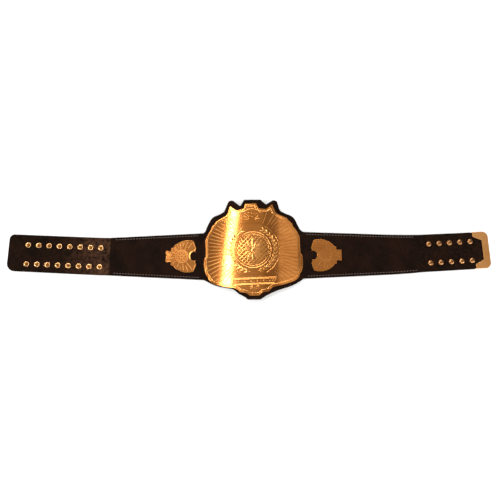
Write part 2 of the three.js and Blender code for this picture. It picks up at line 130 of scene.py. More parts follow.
overhead, wash_length = 5.0, 1.5
for name, x, y, width, length, brightness, spin in (
    ("band_light", -1.38, 0.7, 0.34, 5.4, 18.0, -26),
    ("band_side_light", -0.88, 0.7, 0.44, 5.4, 0.22, -24),
    ("middle_light", -0.2, 0.7, 1.5, 5.4, 0.18, 0),
    ("right_light", 2.1, 0.7, 1.3, 5.4, 0.5, 0),
    ("band_foot_light", -1.37, 0.25, 0.2, 0.65, 18.0, -9),
):
    soft_box(name, (x, y, overhead), width, length, brightness, math.radians(spin))
for name, place, width, brightness in (
    ("left_wash", (-3.0, -0.2, 1.7), 2.0, 3.0),
    ("right_wash", (3.2, -1.4, 1.9), 2.0, 5.0),
    ("far_wash", (0.3, 3.9, 4.6), 5.0, 6.5),
    ("near_wash", (0.9, -3.6, 4.6), 5.0, 7.5),
):
    soft_box(name, place, width, wash_length, brightness, aim=(0.0, 0.0, 0.0))

# Strap base
# The back layer: one long piece of dyed cow leather, 3 mm thick, cut out with its shaped lobe
# behind the main plate. Its bare ends carry the snaps, and its cut edges are burnished.
strap_left, strap_right = 650.5, 624.0
strap_at_plate, strap_at_snaps, strap_at_end, strap_at_tip = 124.3, 99.8, 98.0, 95.0
corner_radius, lower_left_radius = 13.0, 21.0
tip_arm, narrow_from, narrow_to = 39.0, 4.0, 1.0  # the strap narrows just before the tip's arms
base_thick, leather_rounding = 3.0, 0.7
layer_gap = 0.3  # the glue between one leather and the next, and the gap under the plates
plate_half, plate_rise, plate_drop = 130.0, 136.6, 105.3
border = 10.5
lobe_meets_strap = 0.935  # a share of the lobe's half width
arch_radius, back_radius = 600.0, 70.0
arch_half = plate_half + 4.5  # the bend goes on a little past the plate
arch_angle = arch_half / arch_radius
lean_from, lean_over, lean_angle = 352.0, 76.0, math.radians(2.9)
rest_height = 1.7
snap_pitch, snap_rows, snap_shift = 27.5, 50.5, -1.7
studs_from_end, caps_from_end, last_to_panel = 52.0, 47.4, 26.0
panel_left = -(strap_left - studs_from_end - 7 * snap_pitch - last_to_panel)
panel_right = strap_right - caps_from_end - 4 * snap_pitch - last_to_panel
arc_step = math.radians(7)
quarter_round = (math.sqrt(2) - 1) / 2  # how far a quarter circle swells, as a share
bend_spacing = 12.0  # between the lines at which a layer can bend

# How far the hand-cut strap's middle strays upwards: at the plate, the snaps, the end, the tip.
stray_left = (-1.1, 0.9, 1.4)
stray_right = (0.2, -0.1, -1.1, -0.6)

# x is a share of the half width and y of the rise or drop, then how far the edge swells.
lobe_top_right = [
    (0.134, 1.0, 0), (0.162, 0.978, 0.15), (0.226, 0.925, 0), (0.26, 0.925, -0.2),
    (0.352, 0.98, 0), (0.454, 0.959, 0.2), (0.482, 0.854, 0), (0.537, 0.779, -0.12),
    (0.675, 0.725, -0.03), (0.805, 0.608, 0.12), (0.851, 0.514, 0), (0.902, 0.446, -0.05),
]
lobe_bottom_right = [
    (0.861, -0.593, 0), (0.64, -0.727, 0.04), (0.445, -0.8, 0), (0.216, -0.927, -0.02),
    (0.148, -0.982, 0), (0.103, -1.004, 0.12),
]
lobe_top_left = [
    (0.152, 1.0, 0), (0.178, 0.984, 0.15), (0.226, 0.903, 0), (0.27, 0.904, -0.2),
    (0.352, 0.974, 0), (0.466, 0.966, 0.2), (0.511, 0.862, 0), (0.553, 0.781, -0.04),
    (0.675, 0.726, -0.03), (0.815, 0.627, 0.12), (0.866, 0.532, 0), (0.898, 0.45, 0.03),
]
lobe_bottom_left = [
    (0.861, -0.593, 0), (0.634, -0.71, 0.04), (0.375, -0.769, 0), (0.268, -0.882, 0),
    (0.211, -0.913, 0), (0.139, -0.968, 0), (0.097, -1.004, 0.12),
]


def on_path(u, v, w):
    """A point of the belt laid out flat, carried onto the curve that it lies in."""
    away, side = abs(u), math.copysign(1.0, u)
    if away <= arch_half:
        fall = away / arch_radius
        out = arch_radius * math.sin(fall)
        crest = (arch_radius + back_radius) * (1 - math.cos(arch_angle))
        up = crest - arch_radius * (1 - math.cos(fall))
    else:
        fall = max(0.0, arch_angle - (away - arch_half) / back_radius)
        bent = back_radius * (math.sin(arch_angle) - math.sin(fall))
        out = arch_radius * math.sin(arch_angle) + bent
        out += max(0.0, away - arch_half - arch_angle * back_radius)
        up = back_radius * (1 - math.cos(fall))
    radius = lean_over / lean_angle
    lean = lean_angle * min(1.0, max(0.0, (out - lean_from) / lean_over))
    past_lean = max(0.0, out - lean_from - lean_over)
    x = min(out, lean_from) + radius * math.sin(lean) + past_lean * math.cos(lean)
    y = radius * (1 - math.cos(lean)) + past_lean * math.sin(lean)
    x += w * math.sin(fall) - v * math.sin(lean)
    y += v * math.cos(lean)
    z = up + w * math.cos(fall) + rest_height
    return Vector((side * x, y, z)) * MM + belt_centre


def left_of(along):
    return Vector((-along.y, along.x))


def swelling(a, b, bow):
    """The points of an arc from a to b that swells to the left by a share of its length."""
    if not bow:
        return [b]
    chord = b - a
    angle = 4 * math.atan(2 * abs(bow))
    parts = max(2, math.ceil(angle / arc_step))
    sign = 1 if bow > 0 else -1
    across = left_of(chord).normalized() * sign
    radius = chord.length / (2 * math.sin(angle / 2))
    centre = (a + b) / 2 - across * radius * math.cos(angle / 2)
    spoke = a - centre
    points = []
    for i in range(1, parts + 1):
        turned = -sign * angle * i / parts
        c, s = math.cos(turned), math.sin(turned)
        points.append(centre + Vector((c * spoke.x - s * spoke.y, s * spoke.x + c * spoke.y)))
    return points


def traced(rows, half, rise, drop):
    points = []
    for x, y, bow in rows:
        corner = Vector((x * half, y * (drop if y < 0 else rise)))
        points += swelling(points[-1], corner, bow) if points else [corner]
    return points


def mirrored(points):
    return [Vector((-p.x, p.y)) for p in reversed(points)]


def strap_edge(places, end, radius, up):
    """One long edge of a strap and the rounded corner at its end."""
    line = [Vector((u, middle + up * width / 2)) for u, width, middle in places]
    corner = Vector((end - radius, line[-1].y))
    line = [p for p in line if p.x < corner.x - 1] + [corner]
    return line + swelling(corner, Vector((end, corner.y - up * radius)), up * quarter_round)


def strap_end(end, radius, lower_radius):
    """The edge of one strap, from the lobe round the end and back to the lobe."""
    seam, stray = (panel_right, stray_right) if end > 0 else (-panel_left, stray_left)
    places = [
        (lobe_meets_strap * (plate_half + border), strap_at_plate, stray[0]),
        (seam, strap_at_snaps, stray[1]),
    ]
    if end > seam:
        places += [(strap_right - tip_arm - narrow_from, strap_at_end, stray[2])]
        places += [(strap_right - tip_arm - narrow_to, strap_at_tip, stray[3])]
    elif -end > seam:
        places += [(-end, strap_at_end, stray[2])]
    upper = strap_edge(places, abs(end), radius, 1)
    lower = strap_edge(places, abs(end), lower_radius, -1)
    points = upper + lower[::-1]
    return points if end > 0 else mirrored(points)


def leather_outline(left, right, radius, left_radius):
    sizes = (plate_half + border, plate_rise + border, plate_drop + border)
    outline = traced(lobe_top_right, *sizes) + strap_end(right, radius, radius)
    outline += traced(lobe_bottom_right, *sizes) + mirrored(traced(lobe_bottom_left, *sizes))
    outline += strap_end(left, radius, left_radius) + mirrored(traced(lobe_top_left, *sizes))
    return outline


def flat_sheet(outline, bottom, top, edge, front_rings=()):
    """A flat sheet with rounded edges. On its front, rings go on inwards: (inset, step up)."""
    sheet = bmesh.new()
    points = list(reversed(outline))
    low = [sheet.verts.new((p.x, p.y, bottom + edge)) for p in points]
    high = [sheet.verts.new((p.x, p.y, top - edge)) for p in points]
    for i, (a, b) in enumerate(zip(low, high)):
        after = (i + 1) % len(low)
        sheet.faces.new((a, low[after], high[after], b)).material_index = 1
    front, back = sheet.faces.new(high), sheet.faces.new(list(reversed(low)))
    rounding = [(0.29 * edge, 0.71 * edge), (0.71 * edge, 0.29 * edge)]
    for face, rings in ((front, rounding + list(front_rings)), (back, rounding)):
        for number, (inset, step) in enumerate(rings):
            made = bmesh.ops.inset_region(
                sheet,
                faces=[face],
                thickness=inset,
                depth=step,
                use_even_offset=True,
                use_boundary=True,
            )
            for ring in made["faces"]:
                ring.material_index = 1 if number < len(rounding) else 0
    return sheet


def bend_sheet(sheet, stations):
    """Notes each point's flat place for the patterns, then bends the sheet onto the path."""
    for u in stations:
        parts = sheet.verts[:] + sheet.edges[:] + sheet.faces[:]
        bmesh.ops.bisect_plane(
            sheet, geom=parts, plane_co=(u, 0, 0), plane_no=(1, 0, 0), dist=0.01
        )
    note = sheet.loops.layers.uv.new("flat")
    for face in sheet.faces:
        face.smooth = True
        for loop in face.loops:
            loop[note].uv = (loop.vert.co.y * MM, loop.vert.co.x * MM)
    for vert in sheet.verts:
        vert.co = on_path(*vert.co)


def sheet_stations(spacing):
    """Where a sheet is cut across, so that it can follow the arch and the lean of its ends."""
    steps = int(arch_half / spacing)
    curve = [(i + 0.5) * arch_half / steps for i in range(steps)]
    back = [arch_half + i * arch_angle * back_radius / 4 for i in range(5)]
    lean_start = lean_from + 3  # a little on, as the arch takes up some of the length
    lean = [lean_start + i * lean_over / 8 for i in range(9)]
    return [s * u for u in curve + back + lean for s in (-1, 1)]


def finished_piece(name, mesh_source, materials, nodes):
    mesh = bpy.data.meshes.new(name)
    mesh_source.normal_update()
    mesh_source.to_mesh(mesh)
    mesh_source.free()
    for material in materials:
        mesh.materials.append(material)
    piece = bpy.data.objects.new(name, mesh)
    scene.collection.objects.link(piece)
    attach(piece, "root")
    if nodes:
        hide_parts(*nodes)
    return piece


def even_normals(piece):
    """Lets the large faces decide the shading, so that flat parts look flat."""
    weighted = piece.modifiers.new("even_normals", "WEIGHTED_NORMAL")
    weighted.weight = 90


# Paler brown in patches near the left end's seam: from and to along the belt, and how much at
# each.
paler_brown_zone = ((-500, -385, 0.0, 0.62), (-355, -300, 1.0, 0.0))


def leather(name, dark, light, grain_mm, roughness, bump_mm, mottle, paler_brown=None):
    """Dyed leather: dark, nearly without shine, clouded by its dye in patches of 45 mm. Its
    grain is drawn larger than the real 1 mm, so that it shows at all."""
    material, tree = new_material(name)
    place = add_node(tree, "ShaderNodeTexCoord").outputs["Object"]
    cloud = add_node(
        tree,
        "ShaderNodeTexNoise",
        {"Vector": place, "Scale": 0.022 / MM, "Detail": 4.0, "Roughness": 0.6},
    )
    speck_mm = grain_mm * 1.6
    speck = add_node(
        tree, "ShaderNodeTexNoise", {"Vector": place, "Scale": 1000 / speck_mm, "Detail": 3.0}
    )
    blend = add_node(
        tree,
        "ShaderNodeMix",
        {"Factor": mottle, "A": cloud.outputs["Fac"], "B": speck.outputs["Fac"]},
        data_type="FLOAT",
    )
    spread = add_node(
        tree,
        "ShaderNodeMapRange",
        {"Value": blend.outputs[0], "From Min": 0.36, "From Max": 0.66},
    )
    colour = add_node(
        tree,
        "ShaderNodeMix",
        {"Factor": spread.outputs[0], "A": linear(dark), "B": linear(light)},
        data_type="RGBA",
    )
    if paler_brown:
        along = add_node(tree, "ShaderNodeSeparateXYZ", {"Vector": place})
        paler_brown_share = spread
        for start, end, at_start, at_end in paler_brown_zone:
            fade = add_node(
                tree,
                "ShaderNodeMapRange",
                {
                    "Value": along.outputs["X"],
                    "From Min": start * MM,
                    "From Max": end * MM,
                    "To Min": at_start,
                    "To Max": at_end,
                },
            )
            paler_brown_share = add_node(
                tree,
                "ShaderNodeMath",
                {0: fade.outputs[0], 1: paler_brown_share.outputs[0]},
                operation="MULTIPLY",
            )
        colour = add_node(
            tree,
            "ShaderNodeMix",
            {"Factor": paler_brown_share.outputs[0], "A": colour.outputs[2], "B": linear(paler_brown)},
            data_type="RGBA",
        )
    grain = add_node(
        tree, "ShaderNodeTexVoronoi", {"Vector": place, "Scale": 1000 / grain_mm}, feature="F1"
    )
    bump = add_node(
        tree,
        "ShaderNodeBump",
        {"Strength": 0.55, "Distance": bump_mm * MM, "Height": grain.outputs["Distance"]},
        invert=True,
    )
    gloss = add_node(
        tree,
        "ShaderNodeMapRange",
        {"Value": speck.outputs["Fac"], "To Min": roughness - 0.08, "To Max": roughness + 0.1},
    )
    shader = add_node(
        tree,
        "ShaderNodeBsdfPrincipled",
        {
            "Base Color": colour.outputs[2],
            "Roughness": gloss.outputs[0],
            "IOR": 1.45,
            "Specular IOR Level": 0.04,
            "Normal": bump.outputs[0],
        },
    )
    add_node(tree, "ShaderNodeOutputMaterial", {"Surface": shader.outputs[0]})
    return material


# The split's open fibres leave it rough and blotchy. Its cut edges are waxed and rubbed until
# they are smoother and almost even, and darker, partly from the wax and partly as painted shade.
split_leather = leather(
    "dyed_split_leather", "#0b0603", "#21120a", 4.0, 0.75, 0.5, 0.62, "#5c3e2c"
)
burnished_and_shaded_edge = leather("burnished_leather_edge_painted_shade", "#090504", "#120a07", 6.0, 0.6, 0.15, 0.3)

base_outline = leather_outline(-strap_left, strap_right, corner_radius, lower_left_radius)
base = flat_sheet(base_outline, 0.0, base_thick, leather_rounding)
bend_sheet(base, sheet_stations(bend_spacing))
strap_base = finished_piece(
    "strap_leather_back", base, [split_leather, burnished_and_shaded_edge], ["strap_base"]
)
even_normals(strap_base)

# Front panel
# The second layer, 2 mm of smoother leather, glued and stitched on between the snap sections.
# It follows the base's edge, and its two ends are cut straight across.
panel_thick, panel_corner = 2.0, 3.0
panel_bottom = base_thick + layer_gap
panel_top = panel_bottom + panel_thick

# Full-grain leather keeps the hide's close smooth face, so it is more even than the split.
full_grain = leather("dyed_full_grain_leather", "#0d0603", "#201008", 3.2, 0.62, 0.3, 0.4)

panel_outline = leather_outline(panel_left, panel_right, panel_corner, panel_corner)
panel = flat_sheet(panel_outline, panel_bottom, panel_top, leather_rounding)
bend_sheet(panel, sheet_stations(bend_spacing))
front_panel = finished_piece(
    "panel_leather_front", panel, [full_grain, burnished_and_shaded_edge], ["front_panel"]
)
even_normals(front_panel)

# Main plate
# Cast zinc, 3 mm thick, bent to a 600 mm radius, brushed along the belt and gold plated. Its
# field lies inside a rim line, and its low relief is a plain rosette medal in a laurel wreath.
plate_thick, plate_rounding, plate_bend_spacing = 3.0, 0.5, 5.0
plate_bottom = panel_top + layer_gap
plate_top = plate_bottom + plate_thick
plate_turn, plate_shift = math.radians(2.0), -1.0
plate_rows = [
    (0.104, 1.0, 0), (0.154, 0.9, 0), (0.3, 0.881, 0), (0.427, 0.974, 0), (0.469, 0.857, -0.03),
    (0.523, 0.783, -0.1), (0.712, 0.694, 0), (0.735, 0.657, 0), (0.819, 0.586, 0),
    (0.823, 0.542, 0), (0.953, 0.332, 0.05), (0.955, 0.015, -0.01), (0.988, -0.06, 0.08),
    (0.96, -0.43, 0.06), (0.915, -0.51, 0), (0.9, -0.57, 0), (0.73, -0.7, 0.1),
    (0.42, -0.788, 0.03), (0.354, -0.817, 0), (0.285, -0.902, 0), (0.162, -0.927, 0),
    (0.092, -1.0, 0),
]


def on_plate(p):
    """A point of the plate's own drawing, in its slightly turned place on the belt."""
    c, s = math.cos(plate_turn), math.sin(plate_turn)
    return Vector((c * p[0] - s * p[1] + plate_shift, s * p[0] + c * p[1] + plate_shift))


def edge_distance(p, ring):
    nearest = 1e9
    for a, b in zip(ring, ring[1:] + ring[:1]):
        along = b - a
        share = max(0.0, min(1.0, (p - a).dot(along) / max(along.length_squared, 1e-9)))
        nearest = min(nearest, (p - a - along * share).length)
    return nearest


def inside(p, ring):
    crossed = False
    for a, b in zip(ring, ring[1:] + ring[:1]):
        if (a.y > p.y) != (b.y > p.y) and p.x < a.x + (p.y - a.y) * (b.x - a.x) / (b.y - a.y):
            crossed = not crossed
    return crossed


def inner_line(ring, inset, spacing, step=1.2, slack=0.06):
    """A line inside an outline, at one distance from it, with points at an even spacing."""
    shifted = []
    for a, b in zip(ring, ring[1:] + ring[:1]):
        along = b - a
        steps = max(1, int(along.length / step))
        for i in range(steps):
            start = a + along * (i + 0.5) / steps
            for sign in (1, -1):
                p = start + left_of(along).normalized() * inset * sign
                if inside(p, ring) and edge_distance(p, ring) > inset - slack:
                    shifted.append(p)
    lengths = [(b - a).length for a, b in zip(shifted, shifted[1:] + shifted[:1])]
    count = round(sum(lengths) / spacing)
    line, travelled, leg = [], 0.0, 0
    for i in range(count):
        wanted = sum(lengths) * i / count
        while travelled + lengths[leg] < wanted:
            travelled += lengths[leg]
            leg += 1
        share = (wanted - travelled) / max(lengths[leg], 1e-9)
        line.append(shifted[leg].lerp(shifted[(leg + 1) % len(shifted)], share))
    return line


ridge_foot, relief_foot = -0.03, -0.1  # the relief starts a little inside the plate


def ridge(relief, points, width, height, closed=False):
    """A raised line of trapezoid section."""
    section = [(-0.5, ridge_foot), (-0.12, height), (0.12, height), (0.5, ridge_foot)]
    rows = []
    for i, p in enumerate(points):
        before = points[i - 1] if closed or i else p
        after = points[(i + 1) % len(points)] if closed or i < len(points) - 1 else p
        across = left_of((after - before).normalized())
        rows.append([relief.verts.new((*(p + across * s * width), w)) for s, w in section])
    for a, b in zip(rows, rows[1:] + (rows[:1] if closed else [])):
        for k in range(3):
            relief.faces.new((a[k], b[k], b[k + 1], a[k + 1]))
    if not closed:
        relief.faces.new(rows[0])
        relief.faces.new(list(reversed(rows[-1])))


def towards(angle):
    return Vector((math.cos(angle), math.sin(angle)))


def leaf(relief, root, angle, length, width, height):
    """A pointed leaf with a raised rib, widest at its middle."""
    along = towards(angle)
    across = left_of(along)
    shares = [0.0, 0.22, 0.5, 0.78, 1.0]
    swell = [0.0, 0.8, 1.0, 0.62, 0.0]
    spine = [root + along * length * s for s in shares]
    lifts = [height * (0.4 + 0.6 * w) if w else 0.0 for w in swell]
    rib = [relief.verts.new((*p, lift)) for p, lift in zip(spine, lifts)]
    for sign in (1, -1):
        edge = [p + across * sign * width * w / 2 for p, w in zip(spine, swell)]
        rim = [relief.verts.new((*p, relief_foot)) for p in edge[1:-1]]
        chain = [rib[0], *rim, rib[-1]]
        for k in range(4):
            corners = [chain[k], chain[k + 1], rib[k + 1], rib[k]]
            corners = [v for n, v in enumerate(corners) if v not in corners[:n]]
            relief.faces.new(corners if sign < 0 else list(reversed(corners)))


def bead(relief, centre, radius, height):
    """A small dome with eight sides."""
    rings = []
    for share, lift in ((1.0, relief_foot), (0.75, 0.65 * height)):
        spots = [centre + towards(math.pi * i / 4) * radius * share for i in range(8)]
        rings.append([relief.verts.new((*p, lift)) for p in spots])
    top = relief.verts.new((*centre, height))
    for i in range(8):
        k = (i + 1) % 8
        relief.faces.new((rings[0][i], rings[0][k], rings[1][k], rings[1][i]))
        relief.faces.new((rings[1][i], rings[1][k], top))


def circle(centre, radius, count=96, start=0.0, sweep=2 * math.pi):
    whole = abs(sweep - 2 * math.pi) < 1e-6
    steps = count if whole else count - 1
    return [centre + towards(start + sweep * i / steps) * radius for i in range(count)]


def straight(a, b, step=5.0):
    count = max(2, math.ceil((b - a).length / step) + 1)
    return [a.lerp(b, i / (count - 1)) for i in range(count)]


def wreath(relief, centre, radius, start, sweep, leaf_size, count):
    """A bent stem with pairs of splayed leaves."""
    ridge(relief, circle(centre, radius, 40, start, sweep), 1.1, 0.3)
    for i in range(count):
        angle = start + sweep * (i + 0.4) / count
        root = centre + towards(angle) * radius
        heading = angle + math.copysign(math.pi / 2, sweep)
        for splay in (0.5, -0.5):
            leaf(relief, root, heading + splay, leaf_size, leaf_size * 0.32, 0.28)


def lattice(relief, centre, reach, spacing, width, height):
    """Fine crossed lines that fill a round field."""
    lines = int(reach / spacing)
    for tilt in (math.pi / 4, -math.pi / 4):
        along = towards(tilt)
        for i in range(-lines, lines + 1):
            half = math.sqrt(reach**2 - (i * spacing) ** 2)
            middle = centre + left_of(along) * i * spacing
            ridge(relief, straight(middle - along * half, middle + along * half), width, height)


ray_height, ray_stagger, shortest_ray = 0.03, 7.0, 6.0


def rays(relief, centre, ring, from_radius, count, margin, width, keep):
    """Low broad lines that spread from a motif to the rim, every second one shorter."""
    for i in range(count):
        heading = towards(2 * math.pi * (i + 0.5) / count)
        start = from_radius if i % 2 else from_radius + ray_stagger
        a = b = centre + heading * start
        reach = start
        while inside(b, ring) and edge_distance(b, ring) > margin:
            reach += 1.0
            b = centre + heading * reach
        if reach - start > shortest_ray and keep(a) and keep(b) and keep((a + b) / 2):
            ridge(relief, straight(a, b), width, ray_height)


def raise_relief(relief, carry, base_height, body, finish):
    """Puts a flat relief on a plate that is still flat, in the plate's own place."""
    bmesh.ops.recalc_face_normals(relief, faces=relief.faces[:])
    made = {}
    for vert in relief.verts:
        p = carry(vert.co)
        made[vert] = body.verts.new((p.x, p.y, base_height + vert.co.z))
    for face in relief.faces:
        body.faces.new([made[v] for v in face.verts]).material_index = finish
    relief.free()


def gold_plating(name, light, dark, roughness, streak_rough, streak_mm, streak_share):
    """Gold plate: a warm mirror that fine brush marks blur to one side, tarnished in patches.
    The marks, really a tenth of a millimetre wide, are drawn coarser, so that they show."""
    marks_length, patch_mm = 45, 62.5
    material, tree = new_material(name)
    flat = add_node(tree, "ShaderNodeUVMap", uv_map="flat").outputs[0]
    stretched = add_node(
        tree,
        "ShaderNodeMapping",
        {"Vector": flat, "Scale": (1000 / streak_mm, 1000 / (streak_mm * marks_length), 1.0)},
    )
    streak = add_node(
        tree,
        "ShaderNodeTexNoise",
        {"Vector": stretched.outputs[0], "Scale": 1.0, "Detail": 5.0, "Roughness": 0.7},
    )
    cloud = add_node(
        tree, "ShaderNodeTexNoise", {"Vector": flat, "Scale": 1000 / patch_mm, "Detail": 3.0}
    )
    tarnish = add_node(
        tree,
        "ShaderNodeMapRange",
        {"Value": cloud.outputs["Fac"], "From Min": 0.38, "From Max": 0.68},
    )
    drawn = add_node(
        tree,
        "ShaderNodeMapRange",
        {"Value": streak.outputs["Fac"], "From Min": 0.36, "From Max": 0.64},
    )
    marks = add_node(
        tree,
        "ShaderNodeMix",
        {"Factor": streak_share, "A": tarnish.outputs[0], "B": drawn.outputs[0]},
        data_type="FLOAT",
    )
    colour = add_node(
        tree,
        "ShaderNodeMix",
        {"Factor": marks.outputs[0], "A": linear(light), "B": linear(dark)},
        data_type="RGBA",
    )
    gloss = add_node(
        tree,
        "ShaderNodeMapRange",
        {
            "Value": streak.outputs["Fac"],
            "From Min": 0.5,
            "From Max": 0.68,
            "To Min": roughness,
            "To Max": roughness + streak_rough,
        },
    )
    bump = add_node(
        tree,
        "ShaderNodeBump",
        {"Strength": 0.3, "Distance": 0.1 * MM, "Height": streak.outputs["Fac"]},
    )
    brushing = add_node(tree, "ShaderNodeTangent", direction_type="UV_MAP", uv_map="flat")
    shader = add_node(
        tree,
        "ShaderNodeBsdfPrincipled",
        {
            "Base Color": colour.outputs[2],
            "Metallic": 1.0,
            "Roughness": gloss.outputs[0],
            "Anisotropic": 0.4,
            "Tangent": brushing.outputs[0],
            "Normal": bump.outputs[0],
        },
    )
    add_node(tree, "ShaderNodeOutputMaterial", {"Surface": shader.outputs[0]})
    return material


# The brushed field mirrors the room. The relief is polished by hand, which leaves its shine a
# little softer, the low lines have dulled to satin, and the cast edges stay rough, with painted
# shade that browns them.
brushed_gold = gold_plating("brushed_gold_plate", "#f8a456", "#c87632", 0.115, 0.05, 4.5, 0.62)
shaded_gold_edge = gold_plating("gold_plated_cast_edge_painted_shade", "#b87839", "#7d481f", 0.4, 0.1, 4.0, 0.3)
dulled_gold = gold_plating("dulled_gold_lines", "#c07c40", "#925828", 0.32, 0.08, 4.0, 0.3)
polished_gold = gold_plating("polished_gold_relief", "#f9ae62", "#d98d44", 0.2, 0.08, 4.0, 0.3)

half_plate = traced(plate_rows, plate_half, plate_rise, plate_drop)
plate_ring = half_plate + mirrored(half_plate)
plate_outline = [on_plate(p) for p in plate_ring]
rim_line = [(1.8, 0.0), (0.3, -0.2), (0.6, 0.0), (0.3, 0.2)]
plate = flat_sheet(plate_outline, plate_bottom, plate_top, plate_rounding, rim_line)

# The medal with its beaded rim, its rosette over a lattice, and the wreath and rings round it.
medal, wreath_radius, ring_radius, rays_from = Vector((0.0, 14.0)), 57.5, 68.5, 73.0
relief = bmesh.new()
ridge(relief, inner_line(plate_ring, 6.5, 3.0), 1.3, 0.11, closed=True)
ridge(relief, circle(medal, 47.0), 1.8, 0.24, closed=True)
ridge(relief, circle(medal, 41.5), 1.2, 0.14, closed=True)
for spot in circle(medal, 44.2, 66):
    bead(relief, spot, 0.75, 0.4)
lattice(relief, medal, 40.0, 8.0, 2.2, 0.04)
for spot in circle(medal, 5.0, 12):
    away = spot - medal
    leaf(relief, spot, math.atan2(away.y, away.x), 26.0, 8.0, 0.24)
bead(relief, medal, 6.5, 0.8)
for start, sweep in ((-80, 142), (260, -142)):
    wreath(relief, medal, wreath_radius, math.radians(start), math.radians(sweep), 13.0, 14)
for start in (-62, 118):
    arc = circle(medal, ring_radius, 60, math.radians(start), math.radians(124))
    ridge(relief, arc, 1.3, 0.26)

# An empty scroll below the medal, edged by two lines, with a row of beads in it.
scroll_top, scroll_bottom, scroll_end, scroll_notch = -59.0, -76.0, 58.0, 6.0
scroll_middle = (scroll_top + scroll_bottom) / 2
for inset in (0.0, 2.6):
    top, bottom, end = scroll_top - inset, scroll_bottom + inset, scroll_end - 2.4 * inset
    right = [(end, top), (end - scroll_notch, scroll_middle), (end, bottom)]
    scroll = [Vector(p) for p in [(-end, top), *right, (-end, bottom)]]
    scroll += [Vector((scroll_notch - end, scroll_middle))]
    sides = zip(scroll, scroll[1:] + scroll[:1])
    scroll_line = [p for a, b in sides for p in straight(a, b, 4.0)[:-1]]
    ridge(relief, scroll_line, 1.1, 0.18, closed=True)
for i in range(-5, 6):
    bead(relief, Vector((i * 8.0, scroll_middle)), 1.9 if i % 2 else 1.1, 0.45)

# A fan under an arc at the top, a smaller one at the foot, and three beads on each shoulder.
fan, low_fan = Vector((0.0, 92.0)), Vector((0.0, -78.0))
for centre, facing, side_lines, splay, start, reach, width, height in (
    (fan, 90, 4, 19, 9.0, 27.0, 1.3, 0.2),
    (low_fan, -90, 3, 24, 5.0, 17.0, 1.1, 0.16),
):
    for i in range(-side_lines, side_lines + 1):
        heading = towards(math.radians(facing + i * splay))
        line = straight(centre + heading * start, centre + heading * (reach - 1.5 * abs(i)))
        ridge(relief, line, width, height)
ridge(relief, circle(fan, 31.0, 40, math.radians(15), math.radians(150)), 1.3, 0.26)
for side in (-1, 1):
    for i, size in enumerate((2.2, 1.7, 1.3)):
        bead(relief, Vector((side * (54.0 - 1.6 * i), 110.0 + 5.5 * i)), size, 0.5)


def clear_of_motifs(p):
    in_scroll = abs(p.x) < scroll_end + 4 and scroll_bottom - 26 < p.y < scroll_top + 6
    in_fan = abs(p.x) < 34 and p.y > fan.y - 8
    on_horn = 44 < abs(p.x) < 62 and p.y > 106
    return not (in_scroll or in_fan or on_horn)


raise_relief(relief, on_plate, plate_top, plate, 2)
ray_lines = bmesh.new()
rays(ray_lines, medal, plate_ring, rays_from, 72, 10.0, 1.8, clear_of_motifs)
raise_relief(ray_lines, on_plate, plate_top, plate, 3)
bend_sheet(plate, [u for u in sheet_stations(plate_bend_spacing) if abs(u) < arch_half])
plate_golds = [brushed_gold, shaded_gold_edge, polished_gold, dulled_gold]
main_plate = finished_piece("main_plate_gold", plate, plate_golds, ["main_plate"])
even_normals(main_plate)

# Side plates
# Two smaller flat castings of the same metal, 2.5 mm thick, each with a round notch towards
# the main plate and a square foot outwards. The left one is still polished, the right one is
# rubbed to a satin, and both carry two rings with spokes and rays. The left one's darker gold is
# painted shade and the right one's lighter gold is painted light.
side_length, side_height, side_thick = 80.0, 84.5, 2.5
side_rounding, side_sunk = 0.45, 0.1
side_top = plate_bottom + side_thick
side_rim = [(0.2, 0.0), (1.5, 0.0), (0.5, -side_sunk)]
side_places = (("left", -1, 21.8, -0.6), ("right", 1, 23.2, -0.5))
side_rows = [
    (0.192, 0.0, 0), (0.02, 0.255, -0.33), (0.038, 0.4, 0), (0.0, 0.495, 0),
    (0.044, 0.71, -0.04), (0.088, 0.945, 0), (0.25, 1.0, 0.06), (0.45, 0.965, 0.06),
    (0.788, 0.53, 0.08), (0.825, 0.553, 0), (0.838, 0.33, 0), (1.0, 0.34, 0), (1.0, 0.0, 0),
]

# A smoother gold, which mirrors more, painted darker as painted shade, and a rougher one, which
# spreads the light, painted lighter as painted light.
side_golds = {
    "left": gold_plating(
        "polished_gold_left_plate_painted_shade", "#ec9f54", "#c0763a", 0.07, 0.03, 4.5, 0.6
    ),
    "right": gold_plating("satin_gold_right_plate_painted_light", "#fca656", "#d07c36", 0.2, 0.05, 4.5, 0.6),
}


def side_outline():
    corners = [(Vector((s * side_length, v * side_height / 2)), bow) for s, v, bow in side_rows]
    upper = [corners[0][0]]
    for corner, bow in corners[1:]:
        upper += swelling(upper[-1], corner, bow)
    return upper + [Vector((p.x, -p.y)) for p in reversed(upper[1:-1])]


for side_name, side, gap, up in side_places:

    def on_side(p):
        return Vector((side * (plate_half + gap + p[0]), up + p[1]))

    ring = side_outline()
    placed = [on_side(p) for p in ring]
    if side < 0:
        placed.reverse()
    casting = flat_sheet(placed, plate_bottom, side_top, side_rounding, side_rim)
    relief = bmesh.new()
    hub = Vector((38.0, 0.0))
    ridge(relief, circle(hub, 16.5, 60), 2.0, 0.05, closed=True)
    ridge(relief, circle(hub, 12.5, 48), 1.8, 0.03, closed=True)
    for i in range(8):
        heading = towards(math.pi * (i + 0.5) / 4)
        ridge(relief, straight(hub + heading * 2.5, hub + heading * 10.5), 2.0, 0.03)
    rays(relief, hub, ring, 20.0, 24, 5.0, 1.6, lambda p: p.x > 8)
    raise_relief(relief, on_side, side_top - side_sunk, casting, 2)
    bend_sheet(casting, [])
    side_plate = finished_piece(
        "side_plate_gold_" + side_name,
        casting,
        [side_golds[side_name], shaded_gold_edge, dulled_gold],
        ["side_plate_" + side_name],
    )
    even_normals(side_plate)

